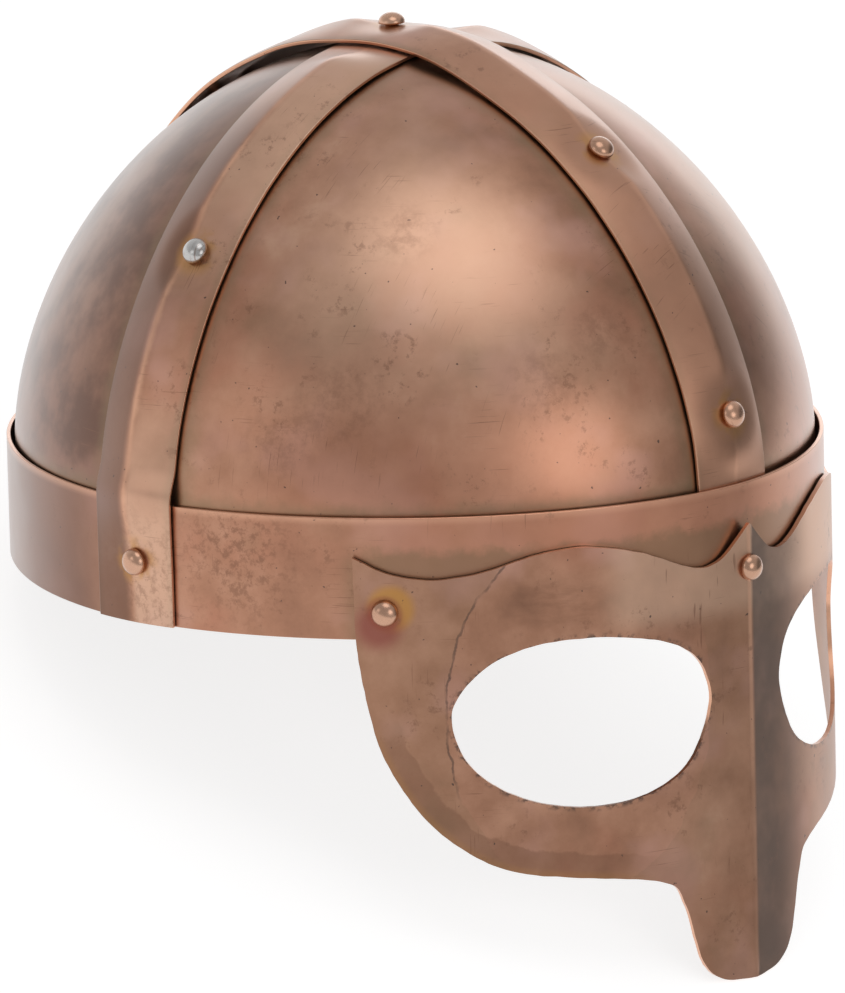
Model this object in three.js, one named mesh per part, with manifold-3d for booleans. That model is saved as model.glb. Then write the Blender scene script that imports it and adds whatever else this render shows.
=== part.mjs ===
// Spangenhelm: four skull plates held by two crossing ridged straps, a brow band and a
// spectacle face guard, all riveted sheet metal. Millimetres, +Z up.
// The helmet is drawn upright: front towards -Y, the wearer's left towards +X, and height 0
// at the brow band's lower edge. At the end it is leant back to rest on nasal and rear rim.
import * as THREE from 'three';
import { mergeVertices } from 'three/addons/utils/BufferGeometryUtils.js';
import { TessellateModifier } from 'three/addons/modifiers/TessellateModifier.js';
import Module from 'manifold-3d';

const { lerp, smoothstep } = THREE.MathUtils;

// Skull, over the outside of its plates
const skullWidth = 221.6;
const skullLength = 232;
const skullTop = 141.5;         // crown above the brow band's lower edge
const wallHeight = 32.3;        // height up to which the skull's wall stands straight
const planPower = 1.854;        // roundness of the skull seen from above, 2 is an ellipse
const risePower = 1.75;         // roundness of its rise to the crown
const shoulderPower = 1.99;     // roundness of its shoulder
const plateThickness = 1.2;
const plateFoot = 3;            // plates and strap ends start this far above the band's edge
const seamWidth = 0.6;          // open joint between two plates, under a strap

// Brow band
const bandHeight = 33.5;
const bandThickness = 1.2;

// Straps
const strapWidth = 27.4;
const strapThickness = 1.2;
const ridgeHeight = 3.1;        // raised middle of a strap above its edges
const ridgeRun = 17;            // length over which a ridge fades out
const ridgeLowEnd = 5;          // height at which the side strap's ridge has faded out
const ridgeSquash = 0.5;        // share of its height that a ridge loses under a rivet
const squashReach = 11;         // how far past a rivet's head the ridge is pressed down
const stepRun = 9;              // length in which a strap steps over the piece beneath it
const crossingRun = 30;         // length in which the upper strap comes down from the crossing

// Face guard, its lengths measured along the bent plate
const guardThickness = 1.2;
const guardReach = 114;         // from the middle crease to the outer corner
const guardRise = 23;           // peak and corner above the band's lower edge
const nasalDrop = 104;          // nasal tip below the band's lower edge
const nasalWidth = 44.4;
const creaseFlat = 14;          // half-width of the flats that meet in the middle crease
const eyeWidth = 74.3;
const eyeHeight = 46.9;
const eyeSpacing = 102.7;       // between the middles of the eye openings
const eyeDrop = 25;             // middle of an eye opening below the band's lower edge

// Rivets
const headRadius = 3.7;
const headHeight = 2.9;
const shankRadius = 1.9;
const tailRadius = 3.1;
const tailHeight = 1;

// Clearances
const seat = 0.3;               // between two pieces that lie on each other
const guardStandOff = 0.6;      // between the guard and the band
const holePlay = 0.3;           // round a rivet's shank
const stepPlay = 1;             // past an edge, before a strap starts to step down off it

// Fineness of the faceted surfaces
const turnSteps = 48;           // facets round the skull and the band
const riseSteps = 12;           // facets from the wall up to the crown
const strapSteps = 44;          // facets along a strap
const strapAcross = 4;          // facets across a strap
const outlineSteps = 19;        // facets along one stretch of the guard's outline
const bendLength = 18;          // longest facet edge on the bent guard
const bendCuts = 8;             // times the guard's faces may be halved to reach bendLength
const rivetSides = 12;
const headSteps = 3;
const lineDivisions = 400;      // samples that measure a strap's length
const wallShare = 0.12;         // share of those samples that lies on the skull's straight wall

// Precision
const weldDistance = 1e-4;      // corners nearer than this are one
const depthPrecision = 0.001;
const probeHeight = 1;          // a strap's depth is felt for from this far above the skull

// Guard's upper edge from the crease to the corner: shares of guardReach and of guardRise
const browLine = [
  { along: 0, up: 1 }, { along: 0.06, up: 0.72 }, { along: 0.1, up: 0.6 },
  { along: 0.147, up: 0.575 }, { along: 0.2, up: 0.65 }, { along: 0.3, up: 0.86 },
  { along: 0.4, up: 0.985 }, { along: 0.485, up: 1.02 }, { along: 0.58, up: 0.96 },
  { along: 0.68, up: 0.82 }, { along: 0.75, up: 0.75 }, { along: 0.83, up: 0.73 },
  { along: 0.92, up: 0.81 }, { along: 1, up: 1 },
];
// Cheek's outer edge from the corner down and inwards: shares of guardReach and of nasalDrop
const cheekLine = [
  { along: 0.996, down: 0 }, { along: 0.987, down: 0.08 }, { along: 0.968, down: 0.19 },
  { along: 0.943, down: 0.29 }, { along: 0.9, down: 0.384 }, { along: 0.84, down: 0.477 },
  { along: 0.766, down: 0.55 }, { along: 0.685, down: 0.603 }, { along: 0.61, down: 0.63 },
  { along: 0.52, down: 0.646 }, { along: 0.4, down: 0.664 }, { along: 0.31, down: 0.68 },
];
// Nasal's side from the cheek to the tip: shares of half the nasalWidth and of nasalDrop
const nasalLine = [
  { across: 1.34, down: 0.696 }, { across: 1.18, down: 0.717 }, { across: 1.08, down: 0.76 },
  { across: 1, down: 0.807 }, { across: 0.91, down: 0.878 }, { across: 0.8, down: 0.937 },
  { across: 0.62, down: 0.975 }, { across: 0.36, down: 0.994 }, { across: 0, down: 1 },
];
// Eye opening, from its nose end over the top: shares of half its width and half its height
const eyeLine = [
  { out: -1, up: 0 }, { out: -0.93, up: 0.48 }, { out: -0.72, up: 0.77 },
  { out: -0.386, up: 0.93 }, { out: 0, up: 1 }, { out: 0.38, up: 0.96 },
  { out: 0.7, up: 0.78 }, { out: 0.92, up: 0.46 }, { out: 1, up: 0.12 },
  { out: 0.9, up: -0.36 }, { out: 0.65, up: -0.71 }, { out: 0.31, up: -0.925 },
  { out: -0.1, up: -1 }, { out: -0.5, up: -0.91 }, { out: -0.82, up: -0.61 },
];

// Rivets on the straps: share of the way up from the band's lower edge to the crown, and
// distance off the ridge, towards the wearer's left or the front
const strapRivets = [
  { name: 'rivet_front_upper', strap: 'front_back', end: -1, way: 0.64, off: 0 },
  { name: 'rivet_front_lower', strap: 'front_back', end: -1, way: 0.25, off: 0 },
  { name: 'rivet_rear_upper', strap: 'front_back', end: 1, way: 0.64, off: 0 },
  { name: 'rivet_rear_lower', strap: 'front_back', end: 1, way: 0.25, off: 0 },
  { name: 'rivet_right_upper', strap: 'side', end: -1, way: 0.503, off: 3.4 },
  { name: 'rivet_right_lower', strap: 'side', end: -1, way: 0.085, off: 2 },
  { name: 'rivet_left_upper', strap: 'side', end: 1, way: 0.503, off: 3.4 },
  { name: 'rivet_left_lower', strap: 'side', end: 1, way: 0.085, off: 2 },
];
const crownRivetBack = 4.4;     // the crown's rivet sits this far behind the crossing's middle

// Rivets of the guard: share of guardReach from the crease, and height above the band's edge
const guardRivets = [
  { name: 'rivet_guard_right', along: -0.926, height: 7.8 },
  { name: 'rivet_guard_centre', along: 0, height: 10.8 },
  { name: 'rivet_guard_left', along: 0.926, height: 7.8 },
];

const halfWidth = skullWidth / 2;
const halfLength = skullLength / 2;
const rise = skullTop - wallHeight;
const bandInside = {
  halfWidth: halfWidth + seat,
  halfLength: halfLength + seat + strapThickness + seat,
};
const bandOutside = {
  halfWidth: bandInside.halfWidth + bandThickness,
  halfLength: bandInside.halfLength + bandThickness,
};
const guardInside = {
  halfWidth: bandOutside.halfWidth + guardStandOff,
  halfLength: bandOutside.halfLength + guardStandOff,
};

// How far the middle of a flat facet lies inside the round it stands for
const facetSag = halfWidth * (1 - Math.cos(Math.PI / turnSteps))
  + skullTop * (1 - Math.cos(Math.PI / 4 / riseSteps));

const wasm = await Module();
wasm.setup();

function toSolid(geometry) {
  const bare = geometry.clone();
  bare.deleteAttribute('normal');
  bare.deleteAttribute('uv');
  const merged = mergeVertices(bare, weldDistance);
  const corners = merged.index.array;
  const kept = [];
  for (let i = 0; i < corners.length; i += 3) {
    const [a, b, c] = [corners[i], corners[i + 1], corners[i + 2]];
    if (a !== b && b !== c && c !== a) kept.push(a, b, c);
  }
  return new wasm.Manifold(new wasm.Mesh({
    numProp: 3,
    vertProperties: new Float32Array(merged.attributes.position.array),
    triVerts: new Uint32Array(kept),
  }));
}

function toGeometry(solid) {
  const mesh = solid.getMesh();
  const geometry = new THREE.BufferGeometry();
  geometry.setAttribute('position', new THREE.BufferAttribute(mesh.vertProperties, 3));
  geometry.setIndex(new THREE.BufferAttribute(mesh.triVerts, 1));
  geometry.computeVertexNormals();
  return geometry;
}

function moveEachPoint(geometry, place) {
  const position = geometry.attributes.position;
  for (let i = 0; i < position.count; i += 1) {
    const point = place(position.getX(i), position.getY(i), position.getZ(i));
    position.setXYZ(i, point.x, point.y, point.z);
  }
  return geometry;
}

function signedPower(value, power) {
  return Math.sign(value) * Math.abs(value) ** power;
}

// Level of a point against the skull's outer face: below 0 inside, above 0 outside
function skullLevel(point) {
  const across = Math.abs(point.x / halfWidth) ** planPower;
  const along = Math.abs(point.y / halfLength) ** planPower;
  const spread = (across + along) ** (shoulderPower / planPower);
  const lift = Math.max(0, (point.z - wallHeight) / rise) ** risePower;
  return spread + lift - 1;
}

// Distance from a point outside to the skull's outer face, along a direction
function depthToSkull(point, inward) {
  let near = 0;
  let far = skullWidth / 4;
  while (far - near > depthPrecision) {
    const middle = (near + far) / 2;
    const level = skullLevel(point.clone().addScaledVector(inward, middle));
    if (level > 0) near = middle;
    else far = middle;
  }
  return (near + far) / 2;
}

// Middle line of a strap over the skull, from one foot over the crown to the other,
// in the plane of the strap: x along the floor, y upwards
class StrapLine extends THREE.Curve {
  constructor(reach, foot) {
    super();
    this.reach = reach;
    this.foot = foot;
    this.arcLengthDivisions = lineDivisions;
  }

  getPoint(t, target = new THREE.Vector2()) {
    const side = t < 0.5 ? -1 : 1;
    const fromFoot = 1 - Math.abs(2 * t - 1);
    if (fromFoot < wallShare) {
      const height = lerp(this.foot, wallHeight, fromFoot / wallShare);
      return target.set(side * this.reach, height);
    }
    const turn = (fromFoot - wallShare) / (1 - wallShare) * Math.PI / 2;
    const out = Math.cos(turn) ** (2 / shoulderPower);
    const up = Math.sin(turn) ** (2 / risePower);
    return target.set(side * this.reach * out, wallHeight + rise * up);
  }
}

// A strap: its line on the skull, how high it lies over the plates and how its ridge fades
class Strap {
  constructor(reach, foot, heading, lift, ridgeShare) {
    this.line = new StrapLine(reach, foot);
    this.length = this.line.getLength();
    this.heading = heading;
    this.sideways = new THREE.Vector3(-heading.y, heading.x, 0);
    this.lift = lift;
    this.ridgeShare = ridgeShare;
    this.rivets = [];
  }

  // Place on the skull's middle line at a share of the strap's length, with its outward normal
  station(share) {
    const at = this.line.getPointAt(share);
    const tangent = this.line.getTangentAt(share);
    const point = this.heading.clone().multiplyScalar(at.x).setZ(at.y);
    const normal = this.heading.clone().multiplyScalar(-tangent.y).setZ(tangent.x);
    return { point, normal, share, out: Math.abs(at.x), height: at.y };
  }

  // 1 under a rivet's head, 0 well away from every rivet
  pressed(share, across) {
    const far = headRadius + squashReach;
    return this.rivets.reduce((most, rivet) => {
      const distance = Math.hypot((share - rivet.share) * this.length, across - rivet.across);
      return Math.max(most, 1 - smoothstep(distance, headRadius, far));
    }, 0);
  }

  // Height of the strap's underside over the tangent plane at a station
  underside(station, across) {
    const start = station.point.clone()
      .addScaledVector(this.sideways, across)
      .addScaledVector(station.normal, probeHeight);
    const sink = depthToSkull(start, station.normal.clone().negate()) - probeHeight;
    const slope = 1 - Math.abs(across) / (strapWidth / 2);
    const squash = 1 - ridgeSquash * this.pressed(station.share, across);
    const ridge = ridgeHeight * slope * squash * this.ridgeShare(station);
    return seat + this.lift(station) + ridge - sink;
  }

  place(share, across, above) {
    const station = this.station(share);
    const height = this.underside(station, across) + above;
    return station.point
      .addScaledVector(this.sideways, across)
      .addScaledVector(station.normal, height);
  }

  geometry() {
    const blank = new THREE.BoxGeometry(1, 1, 1, strapAcross, strapSteps, 1);
    return moveEachPoint(blank, (x, y, z) => (
      this.place(y + 0.5, -x * strapWidth, (z + 0.5) * strapThickness)
    ));
  }

  // Share of the length at a share of the way from the band's lower edge to the crown
  shareAt(way, end) {
    const half = this.length / 2 + this.line.foot;
    const fromFoot = way * half - this.line.foot;
    return end < 0 ? fromFoot / this.length : 1 - fromFoot / this.length;
  }
}

const pastBand = bandHeight + stepPlay;
const pastStrap = strapWidth / 2 + stepPlay;

const sideStrap = new Strap(
  halfWidth,
  0,
  new THREE.Vector3(1, 0, 0),
  ({ height }) => (seat + bandThickness) * (1 - smoothstep(height, pastBand, pastBand + stepRun)),
  ({ out, height }) => (
    smoothstep(out, pastStrap, pastStrap + ridgeRun)
      * smoothstep(height, ridgeLowEnd, ridgeLowEnd + 2 * ridgeRun)
  ),
);

const frontBackStrap = new Strap(
  halfLength,
  plateFoot,
  new THREE.Vector3(0, 1, 0),
  ({ out }) => (
    (seat + strapThickness) * (1 - smoothstep(out, pastStrap, pastStrap + crossingRun))
  ),
  ({ height }) => smoothstep(height, bandHeight, bandHeight + ridgeRun),
);

const straps = { side: sideStrap, front_back: frontBackStrap };
for (const { name, strap: key, end, way, off } of strapRivets) {
  const strap = straps[key];
  strap.rivets.push({ name, share: strap.shareAt(way, end), across: -off });
}
frontBackStrap.rivets.push({
  name: 'rivet_crown',
  share: 0.5 + crownRivetBack / frontBackStrap.length,
  across: 0,
});

// Turns a round lathe shape into the skull's plan: a length out to the side keeps its size
function latheOnPlan(profile, lengthToWidth) {
  const lathe = new THREE.LatheGeometry(profile, turnSteps).rotateX(Math.PI / 2);
  return moveEachPoint(lathe, (x, y, z) => {
    const radius = Math.hypot(x, y);
    if (radius < 1e-6) return new THREE.Vector3(0, 0, z);
    const across = signedPower(x / radius, 2 / planPower);
    const along = signedPower(y / radius, 2 / planPower);
    return new THREE.Vector3(radius * across, radius * lengthToWidth * along, z);
  });
}

function skullProfile(thickness) {
  const points = [new THREE.Vector2(halfWidth - thickness, plateFoot)];
  for (let i = 0; i <= riseSteps; i += 1) {
    const turn = i / riseSteps * Math.PI / 2;
    const out = i < riseSteps ? Math.cos(turn) ** (2 / shoulderPower) : 0;
    const up = Math.sin(turn) ** (2 / risePower);
    points.push(new THREE.Vector2(
      (halfWidth - thickness) * out,
      wallHeight + (rise - thickness) * up,
    ));
  }
  return points;
}

function skullShell() {
  const outside = skullProfile(0);
  const inside = skullProfile(plateThickness).reverse();
  return toSolid(latheOnPlan([...inside, ...outside], skullLength / skullWidth));
}

// One quarter of the skull: left is 1 for the wearer's left, rear is 1 for the back
function quarterPlate(shell, left, rear) {
  const room = skullLength;
  const block = new THREE.BoxGeometry(room, room, 2 * room);
  const shift = room / 2 + seamWidth / 2;
  block.translate(left * shift, rear * shift, 0);
  return shell.intersect(toSolid(block));
}

function browBand() {
  const inner = bandInside.halfWidth;
  const outer = bandOutside.halfWidth;
  const profile = [
    new THREE.Vector2(inner, 0),
    new THREE.Vector2(outer, 0),
    new THREE.Vector2(outer, bandHeight),
    new THREE.Vector2(inner, bandHeight),
    new THREE.Vector2(inner, 0),
  ];
  return toSolid(latheOnPlan(profile, bandInside.halfLength / inner));
}

// The guard's plan from its crease to the side: a straight flat, then the band's curve
class PlanArc extends THREE.Curve {
  constructor(firstTurn) {
    super();
    this.firstTurn = firstTurn;
  }

  getPoint(t, target = new THREE.Vector2()) {
    const turn = lerp(this.firstTurn, Math.PI / 2, t);
    return target.set(
      guardInside.halfWidth * Math.sin(turn) ** (2 / planPower),
      -guardInside.halfLength * Math.max(0, Math.cos(turn)) ** (2 / planPower),
    );
  }
}

function guardPlan() {
  const share = creaseFlat / guardInside.halfWidth;
  const arc = new PlanArc(Math.asin(share ** (planPower / 2)));
  const joint = arc.getPoint(0);
  const slope = guardInside.halfLength / guardInside.halfWidth * share ** (planPower - 1)
    * (1 - share ** planPower) ** (1 / planPower - 1);
  const crease = new THREE.Vector2(0, joint.y - slope * joint.x);
  const plan = new THREE.CurvePath();
  plan.add(new THREE.LineCurve(crease, joint));
  plan.add(arc);
  return plan;
}

const guardCurve = guardPlan();
const guardCurveLength = guardCurve.getLength();
const creaseY = guardCurve.getPoint(0).y;

// Place on the guard's inner face, for the half on the wearer's left
function guardStation(along) {
  const share = Math.min(1, Math.max(0, along / guardCurveLength));
  const at = guardCurve.getPoint(share);
  const tangent = guardCurve.getTangent(share);
  const onCrease = along < 1e-6;
  const normal = onCrease ? new THREE.Vector3(0, -1, 0)
    : new THREE.Vector3(tangent.y, -tangent.x, 0).normalize();
  return { point: new THREE.Vector3(onCrease ? 0 : at.x, at.y, 0), normal };
}

function throughPoints(rows, steps) {
  return new THREE.SplineCurve(rows).getPoints(steps);
}

function eyeOpening() {
  const middle = new THREE.Vector3(eyeSpacing / 2, -eyeDrop, 0);
  const rows = eyeLine.map(({ out, up }) => (
    new THREE.Vector3(out * eyeWidth / 2, up * eyeHeight / 2, 0).add(middle)
  ));
  const points = new THREE.CatmullRomCurve3(rows, true).getPoints(outlineSteps);
  points.pop();
  return new THREE.Path(points.map(({ x, y }) => new THREE.Vector2(x, y)));
}

function halfGuardOutline() {
  const brow = throughPoints(browLine.map(({ along, up }) => (
    new THREE.Vector2(along * guardReach, up * guardRise)
  )), outlineSteps);
  const cheek = throughPoints([
    ...cheekLine.map(({ along, down }) => (
      new THREE.Vector2(along * guardReach, -down * nasalDrop)
    )),
    ...nasalLine.map(({ across, down }) => (
      new THREE.Vector2(across * nasalWidth / 2, -down * nasalDrop)
    )),
  ], outlineSteps);
  const outline = new THREE.Shape([...brow, ...cheek].reverse());
  outline.holes.push(eyeOpening());
  return outline;
}

function spectacleGuard() {
  const flat = new THREE.ExtrudeGeometry(halfGuardOutline(), {
    depth: guardThickness,
    bevelEnabled: false,
    steps: 1,
  });
  flat.deleteAttribute('normal');
  flat.deleteAttribute('uv');
  const fine = new TessellateModifier(bendLength, bendCuts).modify(flat);
  const half = moveEachPoint(fine, (x, y, z) => {
    const { point, normal } = guardStation(x);
    return point.addScaledVector(normal, z).setZ(y);
  });
  const left = toSolid(half);
  return left.add(left.mirror([1, 0, 0]));
}

function rivetGeometry(grip) {
  const profile = [];
  for (let i = 0; i <= headSteps; i += 1) {
    const turn = i / headSteps * Math.PI / 2;
    const out = i > 0 ? headRadius * Math.sin(turn) : 0;
    profile.push(new THREE.Vector2(out, headHeight * Math.cos(turn)));
  }
  profile.push(
    new THREE.Vector2(shankRadius, 0),
    new THREE.Vector2(shankRadius, -grip),
    new THREE.Vector2(tailRadius, -grip),
    new THREE.Vector2(tailRadius, -grip - tailHeight),
    new THREE.Vector2(0, -grip - tailHeight),
  );
  return new THREE.LatheGeometry(profile.reverse(), rivetSides).rotateX(Math.PI / 2);
}

// Where a rivet sits: the point under its head, the way its head points, and how far below
// the head its tail starts, inside the plates
function rivetSeat(under, normal) {
  const depth = depthToSkull(under, normal.clone().negate());
  return { under, normal, grip: depth + plateThickness + facetSag + seat };
}

function strapRivetSeat(strap, share, across) {
  const station = strap.station(share);
  const along = headRadius / strap.length;
  const around = [[0, 0], [along, 0], [-along, 0], [0, headRadius], [0, -headRadius]];
  const base = station.point.clone().addScaledVector(strap.sideways, across);
  const heights = around.map(([further, aside]) => (
    strap.place(share + further, across + aside, strapThickness).sub(base).dot(station.normal)
  ));
  base.addScaledVector(station.normal, Math.max(...heights) + seat + facetSag / 2);
  return rivetSeat(base, station.normal);
}

function rivetSeats() {
  const seats = {};
  for (const strap of Object.values(straps)) {
    for (const { name, share, across } of strap.rivets) {
      seats[name] = strapRivetSeat(strap, share, across);
    }
  }
  for (const { name, along, height } of guardRivets) {
    const { point, normal } = guardStation(Math.abs(along) * guardReach);
    const side = along < 0 ? -1 : 1;
    const under = point.addScaledVector(normal, guardThickness + seat).setZ(height);
    under.x *= side;
    normal.x *= side;
    seats[name] = rivetSeat(under, normal);
  }
  return seats;
}

function rivetHoles(seats) {
  const up = new THREE.Vector3(0, 1, 0);
  return Object.values(seats).map(({ under, normal, grip }) => {
    const reach = grip + 2 * headHeight;
    const drill = new THREE.CylinderGeometry(
      shankRadius + holePlay,
      shankRadius + holePlay,
      2 * reach,
      rivetSides,
    );
    drill.applyQuaternion(new THREE.Quaternion().setFromUnitVectors(up, normal));
    drill.translate(under.x, under.y, under.z);
    return toSolid(drill);
  });
}

const sheetMetal = { color: 0xa57d69, roughness: 0.4, metalness: 1 };
const plateMetal = new THREE.MeshStandardMaterial(sheetMetal);
const strapMetal = new THREE.MeshStandardMaterial({ ...sheetMetal, color: 0xa0735c });
const bandMetal = new THREE.MeshStandardMaterial({ ...sheetMetal, color: 0x9a6f5a });
const guardMetal = new THREE.MeshStandardMaterial({ ...sheetMetal, color: 0x94705c });
const rivetMetal = new THREE.MeshStandardMaterial({ ...sheetMetal, color: 0xb98468 });

function drilled(solid, holes) {
  return holes.reduce((body, hole) => body.subtract(hole), solid);
}

function namedMesh(name, geometry, material) {
  const mesh = new THREE.Mesh(geometry, material);
  mesh.name = name;
  return mesh;
}

function upright() {
  const helmet = new THREE.Group();
  const seats = rivetSeats();
  const holes = rivetHoles(seats);
  const add = (name, solid, material) => {
    helmet.add(namedMesh(name, toGeometry(drilled(solid, holes)), material));
  };
  const shell = skullShell();
  add('plate_front_right', quarterPlate(shell, -1, -1), plateMetal);
  add('plate_front_left', quarterPlate(shell, 1, -1), plateMetal);
  add('plate_rear_right', quarterPlate(shell, -1, 1), plateMetal);
  add('plate_rear_left', quarterPlate(shell, 1, 1), plateMetal);
  add('front_back_strap', toSolid(frontBackStrap.geometry()), strapMetal);
  add('side_strap', toSolid(sideStrap.geometry()), strapMetal);
  add('brow_band', browBand(), bandMetal);
  add('spectacle_guard', spectacleGuard(), guardMetal);
  for (const [name, { under, normal, grip }] of Object.entries(seats)) {
    const rivet = namedMesh(name, rivetGeometry(grip), rivetMetal);
    rivet.position.copy(under);
    rivet.quaternion.setFromUnitVectors(new THREE.Vector3(0, 0, 1), normal);
    helmet.add(rivet);
  }
  return helmet;
}

// Leans the helmet back until the nasal tip and the rear rim are level, then sets it down
// with the middle of its outline at the origin
function restingHelmet() {
  const helmet = upright();
  helmet.rotation.x = -Math.atan2(nasalDrop, bandOutside.halfLength - creaseY);
  const box = new THREE.Box3().setFromObject(helmet, true);
  const middle = box.getCenter(new THREE.Vector3());
  helmet.position.set(-middle.x, -middle.y, -box.min.z);
  const part = new THREE.Group();
  part.add(helmet);
  return part;
}

export default restingHelmet();
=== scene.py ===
import bisect
import math

import bmesh
import bpy
from mathutils import Matrix, Vector, kdtree, noise


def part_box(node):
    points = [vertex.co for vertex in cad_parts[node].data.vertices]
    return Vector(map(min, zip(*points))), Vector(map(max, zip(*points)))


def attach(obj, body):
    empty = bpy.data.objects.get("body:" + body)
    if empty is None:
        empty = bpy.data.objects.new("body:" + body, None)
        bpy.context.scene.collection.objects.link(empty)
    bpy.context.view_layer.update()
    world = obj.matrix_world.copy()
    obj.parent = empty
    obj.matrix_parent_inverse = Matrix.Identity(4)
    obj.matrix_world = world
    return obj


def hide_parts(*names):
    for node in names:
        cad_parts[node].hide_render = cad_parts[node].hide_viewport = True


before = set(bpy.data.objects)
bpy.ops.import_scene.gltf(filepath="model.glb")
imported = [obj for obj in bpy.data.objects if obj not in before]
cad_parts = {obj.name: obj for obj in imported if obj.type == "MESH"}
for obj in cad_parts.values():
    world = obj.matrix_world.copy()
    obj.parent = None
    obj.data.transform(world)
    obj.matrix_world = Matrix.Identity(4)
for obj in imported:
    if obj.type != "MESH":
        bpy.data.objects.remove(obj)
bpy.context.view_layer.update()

print("frame loaded")

# The helmet is modelled upright in millimetres: front to -Y, the wearer's left to +X, height 0
# at the brow band's lower edge. finishedPiece() leans each piece back onto the floor, in metres.
skull = {
    "halfWidth": 110.8,
    "halfLength": 116.0,
    "top": 141.5,            # crown above the band's lower edge
    "wall": 32.3,            # the wall stands straight up to here
    "planPower": 1.854,      # roundness seen from above, 2 is an ellipse
    "risePower": 1.75,
    "shoulderPower": 1.99,
    "foot": 3.0,             # plates and the long strap start this far above the band's edge
}
sheet = {
    "thickness": 1.2,
    "seat": 0.3,             # between two layers
    "edgeRound": 0.32,
    "edgeShineAndWear": 0.8,         # how bright the cut edges are: worn metal, and a painted highlight where the edges catch the light
    "roundSteps": 2,
    "roundAngle": 50,        # edges sharper than this are rounded
}
rise = skull["top"] - skull["wall"]
layer = sheet["thickness"] + sheet["seat"]
bandHeight = 33.5


def smoothStep(value, low, high):
    t = min(1.0, max(0.0, (value - low) / (high - low)))
    return t * t * (3 - 2 * t)


def signedPower(value, power):
    return math.copysign(abs(value) ** power, value)


def planPoint(turn, halfWidth, halfLength):  # turn 0 is the wearer's left, a quarter turn the back
    power = 2 / skull["planPower"]
    across = halfWidth * signedPower(math.cos(turn), power)
    return Vector((across, halfLength * signedPower(math.sin(turn), power), 0))


def skullLevel(point):  # below 0 inside the plates' outer face, above 0 outside
    power = skull["planPower"]
    across = abs(point.x / skull["halfWidth"]) ** power
    along = abs(point.y / skull["halfLength"]) ** power
    climb = max(0.0, (point.z - skull["wall"]) / rise)
    return (across + along) ** (skull["shoulderPower"] / power) + climb ** skull["risePower"] - 1


def depthToSkull(point, inward):
    near, far = 0.0, skull["halfWidth"] / 2
    while far - near > 0.002:
        middle = (near + far) / 2
        if skullLevel(point + inward * middle) > 0:
            near = middle
        else:
            far = middle
    return near


def runningLengths(points):
    lengths = [0.0]
    for before, after in zip(points, points[1:]):
        lengths.append(lengths[-1] + (after - before).length)
    return lengths


def pointAlong(points, lengths, distance):  # the place at a distance along a line, and its heading
    i = min(len(points) - 2, max(0, bisect.bisect_right(lengths, distance) - 1))
    step = points[i + 1] - points[i]
    return points[i] + step * ((distance - lengths[i]) / step.length), step.normalized()


def smoothLine(rows, steps, closed=False):  # a curve through the rows, steps to each stretch
    count = len(rows)
    line = []
    for i in range(count if closed else count - 1):
        picks = (i - 1, i, i + 1, i + 2)
        if closed:
            a, b, c, d = (Vector(rows[k % count]) for k in picks)
        else:
            a, b, c, d = (Vector(rows[min(count - 1, max(0, k))]) for k in picks)
        for step in range(steps):
            t = step / steps
            bow = (2 * a - 5 * b + 4 * c - d) * t * t + (3 * b - a - 3 * c + d) * t ** 3
            line.append(b + ((c - a) * t + bow) / 2)
    return line if closed else line + [Vector(rows[-1])]


# The face guard bends round a line in plan: a flat from the crease, then the band's own curve
guard = {
    "reach": 114.0,          # from the crease to the outer corner, along the bent sheet
    "rise": 23.0,
    "nasalDrop": 104.0,
    "nasalHalfWidth": 22.2,
    "flat": 14.0,            # half-width of the flats that meet in the crease
    "standOff": 0.6,
    "eyeHalfWidth": 37.15,
    "eyeHalfHeight": 23.45,
    "eyeOut": 51.35,
    "eyeDrop": 25.0,
    "sideRivetOut": 105.6,
    "sideRivetHeight": 7.8,
    "centreRivetHeight": 10.8,
    "cutSpacing": 1.5,       # between the upright cuts that let it bend
    "rowSpacing": 2.0,
    "cutSnap": 0.3,          # a cut this near a corner goes through it
    "planSteps": 400,
    "outlineSteps": 6,
    "eyeSteps": 8,
    "edgeWander": 0.15,      # how far a filed edge strays
}
bandIn = (
    skull["halfWidth"] + sheet["seat"],
    skull["halfLength"] + 2 * sheet["seat"] + sheet["thickness"],
)
bandOut = (bandIn[0] + sheet["thickness"], bandIn[1] + sheet["thickness"])
guardIn = (bandOut[0] + guard["standOff"], bandOut[1] + guard["standOff"])


def guardLine():
    power = skull["planPower"]
    share = guard["flat"] / guardIn[0]
    first = math.asin(share ** (power / 2))
    steps = guard["planSteps"]
    turns = [first + (math.pi / 2 - first) * i / steps - math.pi / 2 for i in range(steps + 1)]
    arc = [planPoint(turn, *guardIn) for turn in turns]
    slope = guardIn[1] / guardIn[0] * share ** (power - 1)
    slope *= (1 - share ** power) ** (1 / power - 1)
    return [Vector((0, arc[0].y - slope * arc[0].x, 0))] + arc


guardPlan = guardLine()
guardLengths = runningLengths(guardPlan)

lean = math.atan2(guard["nasalDrop"], bandOut[1] - guardPlan[0].y)
bandLow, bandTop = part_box("brow_band")
setDown = Vector((
    0,
    bandTop.y - (bandOut[1] * math.cos(lean) + bandHeight * math.sin(lean)) / 1000,
    bandLow.z + bandOut[1] * math.sin(lean) / 1000,
))
leanBack = Matrix.Rotation(-lean, 4, "X")
helmetPlace = Matrix.Translation(setDown) @ leanBack @ Matrix.Scale(0.001, 4)


# Small helpers for node trees: each gives back the output to plug in next
def addNode(tree, kind, inputs=None, **settings):
    node = tree.nodes.new(kind)
    for name, value in settings.items():
        setattr(node, name, value)
    for name, value in (inputs or {}).items():
        if isinstance(value, bpy.types.NodeSocket):
            tree.links.new(value, node.inputs[name])
        else:
            node.inputs[name].default_value = value
    return node


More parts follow.
